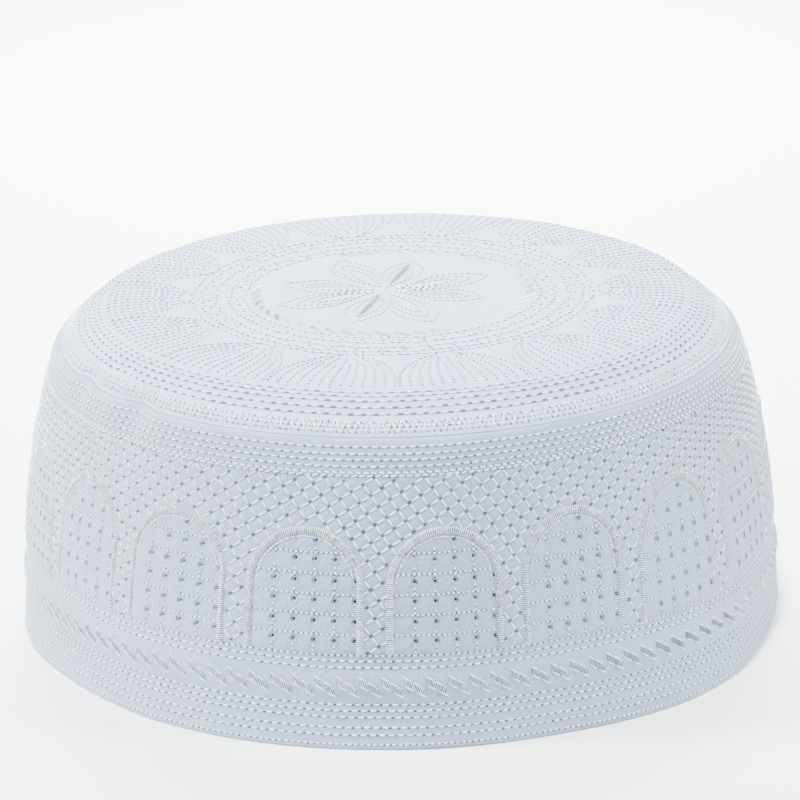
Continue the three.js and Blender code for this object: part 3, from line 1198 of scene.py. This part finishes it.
def rope_ring_threads():
    """The ring round the rosette: a rope of slanted satin dashes, and leaning ticks outside it."""
    parts = [thread_arrays(on_crown, *rope_strands(k), "rope") for k in range(ROPE_STRANDS)]
    angle = np.arange(RING_COUNT) * RING_TURN
    for k in range(TICK_COUNT):
        starts, ends = (
            on_round(TICK_START + far, angle + far * TICK_LEAN, RING_MIDDLE)
            for far in (k * TICK_PITCH, k * TICK_PITCH + RING_STITCH))
        parts.append(thread_arrays(on_crown, starts, ends, "rope"))
    return joined(parts)


def turned(angle):
    """The turn, for rows of (x, y), that moves the front to that angle."""
    return np.array([[math.cos(angle), math.sin(angle)], [-math.sin(angle), math.cos(angle)]])


def fan_rows():
    """Starts and ends of the fourteen shell-shaped fans.

    In each fan lines run out from its tip and spread. The two outer lines start near the tip, the
    others further out, and every second one furthest.
    """
    starts, ends = [], []
    for k in range(FAN_LINES):
        u = 2 * k / (FAN_LINES - 1) - 1
        start = FAN_LINE_START + FAN_STAGGER * (k % 2) + FAN_ROUNDING * (1 - abs(u))
        if k in (0, FAN_LINES - 1):
            start = FAN_EDGE_START
        r = np.linspace(FAN_TIP + start, FAN_END, 40)
        line = on_round(r, u * fan_reach(r))
        low, high = stitches_on_line(line, FAN_PITCH, FAN_STITCH, FAN_SHIFT * (k % 3))
        starts.append(low)
        ends.append(high)
    spins = [turned(FAN_FIRST + FAN_TURN * k) for k in range(FAN_COUNT)]
    starts, ends = np.vstack(starts), np.vstack(ends)
    return [(starts @ spin, ends @ spin, FAN_PITCH - FAN_STITCH) for spin in spins]


def placed(points, degrees):
    """Points of a petal's own frame, turned to its direction and moved to the rosette's middle."""
    return points @ turned(math.radians(degrees)) + np.array(ROSETTE_MIDDLE)


def petal_line(length, width, start):
    """A leaf's outline in its own frame, out along +x: half width is a skewed sine of the way."""
    t = np.linspace(0, 1, PETAL_STEPS)
    x = start + (length - start) * t
    y = width / 2 * np.sin(np.pi * t ** 1.25) ** 0.85
    return np.vstack([np.stack([x, y], 1), np.stack([x, -y], 1)[::-1]])


def petal_rows():
    """Starts, ends and gap of the stitched outlines of the eight petals."""
    rows = []
    for directions, outlines, start, pitch in PETALS:
        for degrees in directions:
            for width, length in outlines:
                line = placed(petal_line(length, width, start), degrees)
                rows.append((*stitches_on_line(line, pitch, PETAL_STITCH), pitch - PETAL_STITCH))
    return rows


def petal_strands(degrees, shift):
    """Starts and ends of the strands of one petal's satin vein, moved on by a share of a pitch."""
    t = (np.arange(VEIN_STRANDS) + 0.5 + shift) / VEIN_STRANDS
    x = VEIN_START + VEIN_LENGTH * t
    half = VEIN_HALF * np.sin(np.pi * np.clip(t, 0, 1)) ** 0.6 + VEIN_END_HALF
    return (
        placed(np.stack([x - VEIN_LEAN, -half], 1), degrees),
        placed(np.stack([x + VEIN_LEAN, half], 1), degrees),
    )


def rosette_threads():
    """The rosette: four petals with a satin vein, four open ones, and the stitched outlines."""
    parts = [thread_arrays(on_crown, *petal_strands(at, 0.0), "vein") for at in SATIN_PETALS]
    return joined(parts + [row_stitches(on_crown, petal_rows(), "petal")])


def crown_shade_pits():
    """Painted shade in the pits of the crown's rows, knots, petals, fans and overlock, and in the gaps
    of its satin.
    """
    parts = []
    for rows, width in ((crown_rows(), CROWN_PIT_WIDTH), (ring_rows(), RING_PIT_WIDTH)):
        for starts, ends, gap in rows:
            parts.append(shade_pits_before(on_crown, starts, ends, gap, (gap, width, PIT_LIFT)))
    between = (np.arange(RING_COUNT) + 0.5) * RING_TURN
    for r in RING_DOTS:
        spots = on_round(r, between, RING_MIDDLE)
        parts.append(shade_pit_arrays(on_crown, spots, spots, *SHADE_PITS["ring_dot"]))
    # Painted shade: rope dashes that lie across the light get dark gaps, and the shaded petals wider
    # ones; they do not move with the lamps
    shaded = np.abs(np.sin(between - SATIN_SHINE)) > 0.5
    for k in range(ROPE_STRANDS - 1):
        starts, ends = (spots[shaded] for spots in rope_strands(k + 0.5))
        parts.append(shade_pit_arrays(on_crown, (starts + ends) / 2, ends - starts, *SHADE_PITS["rope"]))
    for degrees in SATIN_PETALS:
        starts, ends = petal_strands(degrees, 0.5)
        run = ends - starts
        width = SHADED_GAP_WIDTH if degrees in SHADED_PETALS else LIT_GAP_WIDTH
        length = np.linalg.norm(run, axis=1) * 0.9
        parts.append(shade_pit_arrays(on_crown, (starts + ends) / 2, run, length, width, GAP_LIFT))
    overlock = [wall_row(*run) for run in OVERLOCK_RUNS]
    for chart, rows, pit in (
        (on_crown, petal_rows(), SHADE_PITS["petal"]),
        (on_crown, fan_rows(), SHADE_PITS["fan"]),
        (on_edge, overlock, SHADE_PITS["overlock"]),
    ):
        parts += [shade_pits_before(chart, *row, pit) for row in rows]
    return joined(parts)


def maths_in(tree):
    """A short way to add a maths node to a tree: maths(operation, a, b, c) gives its output."""
    def maths(operation, *values):
        node = tree.nodes.new("ShaderNodeMath")
        node.operation = operation
        for index, value in enumerate(values):
            if isinstance(value, (int, float)):
                node.inputs[index].default_value = value
            else:
                tree.links.new(value, node.inputs[index])
        return node.outputs[0]

    return maths


def noise_in(tree, place, scale, detail):
    """Soft noise over the cloth's places, from 0 to 1."""
    noise = tree.nodes.new("ShaderNodeTexNoise")
    noise.inputs["Scale"].default_value = scale
    noise.inputs["Detail"].default_value = detail
    tree.links.new(place, noise.inputs["Vector"])
    return noise.outputs[0]


def weave_group():
    """Plain weave: a product of two sines of the cloth's own places, roughened by noise.

    Gives a height from 0 to 1 and a shade: painted shade that darkens the gaps between the yarns, times
    the noise's grain.
    """
    group = bpy.data.node_groups.get("plain_weave")
    if group:
        return group
    group = bpy.data.node_groups.new("plain_weave", "ShaderNodeTree")
    for name, way, kind in (
        ("Place", "INPUT", "NodeSocketVector"),
        ("Yarn", "INPUT", "NodeSocketFloat"),
        ("Height", "OUTPUT", "NodeSocketFloat"),
        ("Shade", "OUTPUT", "NodeSocketFloat"),
    ):
        group.interface.new_socket(name=name, in_out=way, socket_type=kind)
    maths = maths_in(group)
    inlet = group.nodes.new("NodeGroupInput")
    outlet = group.nodes.new("NodeGroupOutput")
    split = group.nodes.new("ShaderNodeSeparateXYZ")
    group.links.new(inlet.outputs["Place"], split.inputs[0])
    turn = maths("DIVIDE", FULL_TURN, inlet.outputs["Yarn"])
    warp = maths("SINE", maths("MULTIPLY", maths("ADD", split.outputs[0], split.outputs[1]), turn))
    weft = maths("SINE", maths("MULTIPLY", maths("SUBTRACT", split.outputs[1], split.outputs[0]), turn))
    noise = noise_in(group, inlet.outputs["Place"], 1.4, 3.0)
    cross = maths("MULTIPLY_ADD", maths("MULTIPLY", warp, weft), 0.5, 0.5)
    height = maths("ADD", maths("MULTIPLY", cross, 0.7), maths("MULTIPLY", noise, 0.3))
    # Painted shade: the colour darkens where the weave is low
    gaps = maths("MULTIPLY_ADD", cross, *WEAVE_PAINTED_SHADE)
    grain = maths("MULTIPLY_ADD", noise, *GRAIN_SHADE)
    group.links.new(height, outlet.inputs["Height"])
    group.links.new(maths("MULTIPLY", gaps, grain), outlet.inputs["Shade"])
    return group


def principled(name, colour, rough, sheen=0.0):
    """A material with a Principled shader whose even values are set on its own sockets."""
    material = bpy.data.materials.new(name)
    material.use_nodes = True
    shader = material.node_tree.nodes["Principled BSDF"]
    shader.inputs["Base Color"].default_value = (*colour, 1)
    shader.inputs["Roughness"].default_value = rough
    shader.inputs["Sheen Weight"].default_value = sheen
    shader.inputs["Specular IOR Level"].default_value = 0.5
    return material, shader


def cloth_places(tree):
    """The piece's own uv places, in millimetres, and their two parts."""
    place = tree.nodes.new("ShaderNodeUVMap")
    place.uv_map = "cloth"
    split = tree.nodes.new("ShaderNodeSeparateXYZ")
    tree.links.new(place.outputs[0], split.inputs[0])
    return place.outputs[0], split.outputs[0], split.outputs[1]


def add_bump(tree, shader, height, strength, distance):
    """A bump from a height, into the shader's normal."""
    bump = tree.nodes.new("ShaderNodeBump")
    bump.inputs["Strength"].default_value = strength
    bump.inputs["Distance"].default_value = distance
    tree.links.new(height, bump.inputs["Height"])
    tree.links.new(bump.outputs[0], shader.inputs["Normal"])


def cloth_material(name, colour):
    """Woven cotton: the weave's height feeds a bump, and its shade and soft noise the colour."""
    material, shader = principled(name, colour, 0.86, 0.25)
    tree = material.node_tree
    maths = maths_in(tree)
    place = cloth_places(tree)[0]
    weave = tree.nodes.new("ShaderNodeGroup")
    weave.node_tree = weave_group()
    weave.inputs["Yarn"].default_value = YARN
    tree.links.new(place, weave.inputs["Place"])
    mottle = maths("MULTIPLY_ADD", noise_in(tree, place, 0.06, 4.0), *MOTTLE_SHADE)
    tint = tree.nodes.new("ShaderNodeVectorMath")
    tint.operation = "SCALE"
    tint.inputs[0].default_value = colour
    tree.links.new(maths("MULTIPLY", weave.outputs["Shade"], mottle), tint.inputs["Scale"])
    tree.links.new(tint.outputs[0], shader.inputs["Base Color"])
    add_bump(tree, shader, weave.outputs["Height"], 1.0, WEAVE_BUMP)
    return material


def thread_material(name, colour):
    """Embroidery thread: two twisted plies as slanted ridges along the strand, with some gloss."""
    material, shader = principled(name, colour, 0.30)
    tree = material.node_tree
    maths = maths_in(tree)
    _, down, around = cloth_places(tree)
    twist = maths("ADD", maths("DIVIDE", down, TWIST_PITCH), around)
    ply = maths("ABSOLUTE", maths("SINE", maths("MULTIPLY", twist, FULL_TURN)))
    add_bump(tree, shader, ply, 0.6, TWIST_BUMP)
    tree.links.new(maths("MULTIPLY_ADD", ply, *TWIST_ROUGH), shader.inputs["Roughness"])
    return material


def eyelet_material(name, colour):
    """The eyelets' whipping: the cloth's colour on the lip, and a darker painted shade below the mouth.
    """
    material, shader = principled(name, colour, 0.8)
    tree = material.node_tree
    fall = tree.nodes.new("ShaderNodeMapRange")
    fall.interpolation_type = "SMOOTHSTEP"
    fall.inputs["From Min"].default_value = EYELET_FADE[0]
    fall.inputs["From Max"].default_value = EYELET_FADE[1]
    tree.links.new(cloth_places(tree)[2], fall.inputs["Value"])
    # Painted shade: the funnel turns darker grey below the mouth
    mix = tree.nodes.new("ShaderNodeMix")
    mix.data_type = "RGBA"
    mix.inputs["A"].default_value = (*colour, 1)
    mix.inputs["B"].default_value = (*EYELET_PAINTED_SHADE, 1)
    tree.links.new(fall.outputs[0], mix.inputs["Factor"])
    tree.links.new(mix.outputs["Result"], shader.inputs["Base Color"])
    return material


def painted_shade_material(name, colour):
    """Painted shade, in a dark tone of the thread's colour: the inside of a needle hole and the gap
    between two strands.
    """
    return principled(name, colour, 0.9)[0]


def material_named(name):
    """The material of that name, made on first use from the panel's colours."""
    look = bpy.context.scene.dome_hat_look
    make, colour = {
        "band_cotton": (cloth_material, look.band_colour),
        "crown_cotton": (cloth_material, look.crown_lit_colour),
        "thread": (thread_material, look.thread_colour),
        "eyelet_whipping": (eyelet_material, look.band_colour),
        # Painted shade for needle holes and the gaps between strands
        "needle_hole": (painted_shade_material, PAINTED_SHADE_COLOUR),
    }[name]
    return bpy.data.materials.get(name) or make(name, tuple(colour))


def colour_property(name, description, default):
    """A colour for a property group."""
    return bpy.props.FloatVectorProperty(
        name=name, description=description, subtype="COLOR", size=3, min=0.0, max=1.0,
        default=default)


class DomeHatSizes(bpy.types.PropertyGroup):
    """Sizes of the cloth and the thread."""

    cloth_thickness: bpy.props.FloatProperty(
        name="Cloth thickness", description="Thickness of both quilted cloth walls",
        unit="LENGTH", min=0.001, max=0.003, precision=4, default=CLOTH * MM)
    quilting: bpy.props.FloatProperty(
        name="Quilting", description="Depth of the relief that the stitches pull into the cloth",
        subtype="FACTOR", min=0.0, max=2.0, default=1.0)
    thread_width: bpy.props.FloatProperty(
        name="Thread width", description="Width of every stitch, as a share of its own",
        subtype="FACTOR", min=0.5, max=1.5, default=1.0)


class DomeHatLook(bpy.types.PropertyGroup):
    """Colours of the cloth and the thread; the crown's cloth is set lighter than the band's, partly as
    painted light from above.
    """

    band_colour: colour_property(
        "Band cloth", "Colour of the side band's cotton", (0.37, 0.47, 0.62))
    # The crown's white cotton is set lighter than the band's, partly as painted light from above
    crown_lit_colour: colour_property(
        "Crown cloth", "Colour of the crown's cotton", (0.47, 0.60, 0.83))
    thread_colour: colour_property(
        "Thread", "Colour of the embroidery thread", (0.82, 0.91, 1.0))


class DomeHatStage(bpy.types.PropertyGroup):
    """Light and floor of the plain studio."""

    floor_colour: colour_property("Floor", "Colour of the floor", (0.93, 0.94, 0.95))
    back_power: bpy.props.FloatProperty(
        name="Back light", description="Power of the light behind the cap, on the floor",
        unit="POWER", default=19.0)
    top_power: bpy.props.FloatProperty(
        name="Top light", description="Power of the small light over the crown's front",
        unit="POWER", default=1.1)
    left_power: bpy.props.FloatProperty(
        name="Left light", description="Power of the light at the left", unit="POWER", default=5.88)
    right_power: bpy.props.FloatProperty(
        name="Right light", description="Power of the light at the right", unit="POWER",
        default=3.276)


def area_light(name, power, place, target, size, spread):
    """A square lamp at a place, facing a target, with the angle of its beam in degrees."""
    lamp = bpy.data.lights.new(name, "AREA")
    lamp.shape = "SQUARE"
    lamp.size = size
    lamp.energy = power
    lamp.spread = math.radians(spread)
    made = bpy.data.objects.new(name, lamp)
    bpy.context.scene.collection.objects.link(made)
    made.location = place
    x, y, z = np.array(target) - np.array(place)
    made.rotation_euler = (math.atan2(math.hypot(x, y), -z), 0, math.atan2(x, -y) + math.pi)


class DOMEHAT_OT_stage(bpy.types.Operator):
    """Add the floor, the studio light and the camera"""

    bl_idname = "domehat.stage"
    bl_label = "Stage"

    def execute(self, context):
        scene = context.scene
        stage = scene.dome_hat_stage
        far = FLOOR_HALF
        mesh = bpy.data.meshes.new("floor")
        mesh.from_pydata(
            [(-far, -far, 0), (far, -far, 0), (far, far, 0), (-far, far, 0)], [], [(0, 1, 2, 3)])
        mesh.materials.append(principled("floor_paper", tuple(stage.floor_colour), 0.9)[0])
        floor = bpy.data.objects.new("floor", mesh)
        scene.collection.objects.link(floor)
        scene.world = bpy.data.worlds.new("studio")
        scene.world.use_nodes = True
        sky = scene.world.node_tree.nodes["Background"]
        sky.inputs["Color"].default_value = (*SKY_COLOUR, 1)
        sky.inputs["Strength"].default_value = SKY_STRENGTH
        for name, (power, *beam) in LAMPS.items():
            area_light(name, getattr(stage, power), *beam)
        lens = bpy.data.cameras.new("camera")
        lens.lens = CAMERA_LENS
        lens.sensor_width = CAMERA_SENSOR
        camera = bpy.data.objects.new("camera", lens)
        scene.collection.objects.link(camera)
        pitch = Matrix.Rotation(math.pi / 2 - CAMERA_PITCH, 4, "X")
        roll = Matrix.Rotation(CAMERA_ROLL, 4, "Z")
        camera.matrix_world = Matrix.Translation(CAMERA_PLACE) @ pitch @ roll
        bpy.context.scene.camera = camera
        return {"FINISHED"}


class DOMEHAT_OT_band_cloth(bpy.types.Operator):
    """Add the side band's quilted cloth with its eyelets cut through"""

    bl_idname = "domehat.band_cloth"
    bl_label = "Side band cloth"

    def execute(self, context):
        add_mesh("band_cloth", *band_cloth_arrays(), material_named("band_cotton"),
                 "band_cloth", ("side_band",))
        return {"FINISHED"}


class DOMEHAT_OT_crown_cloth(bpy.types.Operator):
    """Add the crown's quilted cloth"""

    bl_idname = "domehat.crown_cloth"
    bl_label = "Crown cloth"

    def execute(self, context):
        add_mesh("crown_cloth", *crown_cloth_arrays(), material_named("crown_cotton"),
                 "crown_cloth", ("crown",))
        return {"FINISHED"}


class DOMEHAT_OT_band_embroidery(bpy.types.Operator):
    """Add the band's running rows, lattice and slanted blocks, and the painted shade of its needle
    holes and gaps
    """

    bl_idname = "domehat.band_embroidery"
    bl_label = "Band rows, lattice and blocks"

    def execute(self, context):
        thread = material_named("thread")
        rows = row_stitches(on_wall, band_rows(), "band_row")
        add_mesh("band_row_stitches", *rows, thread, "band_cloth")
        add_mesh("lattice_stitches", *lattice_threads(), thread, "band_cloth")
        add_mesh("slanted_blocks", *block_threads(), thread, "band_cloth")
        # The band's needle holes and strand gaps, as painted shade
        add_mesh("band_needle_holes", *band_shade_pits(), material_named("needle_hole"), "band_cloth")
        return {"FINISHED"}


class DOMEHAT_OT_arches(bpy.types.Operator):
    """Add the arches: satin borders, ruled lines and whipped eyelet rims"""

    bl_idname = "domehat.arches"
    bl_label = "Arches and eyelets"

    def execute(self, context):
        thread = material_named("thread")
        add_mesh("arch_borders", *arch_border_threads(), thread, "band_cloth")
        add_mesh("arch_grid_stitches", *arch_ruling_threads(), thread, "band_cloth")
        add_mesh("eyelet_rims", *eyelet_lip_arrays(), material_named("eyelet_whipping"), "band_cloth")
        return {"FINISHED"}


class DOMEHAT_OT_crown_embroidery(bpy.types.Operator):
    """Add the crown's rows, fans, rope ring and rosette, the painted shade of their needle holes and
    gaps, and the zigzag at the seam
    """

    bl_idname = "domehat.crown_embroidery"
    bl_label = "Crown embroidery and seam"

    def execute(self, context):
        thread = material_named("thread")
        rows = row_stitches(on_crown, crown_rows() + ring_rows(), "crown_row")
        add_mesh("crown_row_stitches", *rows, thread, "crown_cloth")
        fans = row_stitches(on_crown, fan_rows(), "fan")
        add_mesh("fan_stitches", *fans, thread, "crown_cloth")
        add_mesh("rope_ring", *rope_ring_threads(), thread, "crown_cloth")
        add_mesh("rosette", *rosette_threads(), thread, "crown_cloth")
        add_mesh("seam_zigzag", *seam_threads(), thread, "crown_cloth")
        # The crown's needle holes and strand gaps, as painted shade
        add_mesh("crown_needle_holes", *crown_shade_pits(), material_named("needle_hole"), "crown_cloth")
        return {"FINISHED"}


class DOMEHAT_PT_panel(bpy.types.Panel):
    """The cap's sizes and looks, and its steps in the order in which they are made"""

    bl_idname = "DOMEHAT_PT_panel"
    bl_label = "Dome Hat"
    bl_space_type = "VIEW_3D"
    bl_region_type = "UI"
    bl_category = "Dome Hat"

    def draw(self, context):
        layout = self.layout
        for name in GROUPS:
            group = getattr(context.scene, name)
            for setting in group.__annotations__:
                layout.prop(group, setting)
        for step in STEPS:
            layout.operator(step.bl_idname)


GROUPS = {
    "dome_hat_sizes": DomeHatSizes,
    "dome_hat_look": DomeHatLook,
    "dome_hat_stage": DomeHatStage,
}
STEPS = (
    DOMEHAT_OT_stage,
    DOMEHAT_OT_band_cloth,
    DOMEHAT_OT_crown_cloth,
    DOMEHAT_OT_band_embroidery,
    DOMEHAT_OT_arches,
    DOMEHAT_OT_crown_embroidery,
)
CLASSES = (*GROUPS.values(), *STEPS, DOMEHAT_PT_panel)


def register():
    for cls in CLASSES:
        bpy.utils.register_class(cls)
    for name, group in GROUPS.items():
        setattr(bpy.types.Scene, name, bpy.props.PointerProperty(type=group))


def unregister():
    for name in GROUPS:
        delattr(bpy.types.Scene, name)
    for cls in reversed(CLASSES):
        bpy.utils.unregister_class(cls)


def main():
    """Register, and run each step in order."""
    register()
    bpy.ops.domehat.stage()
    bpy.ops.domehat.band_cloth()
    bpy.ops.domehat.crown_cloth()
    bpy.ops.domehat.band_embroidery()
    bpy.ops.domehat.arches()
    bpy.ops.domehat.crown_embroidery()


if __name__ == "__main__":
    main()
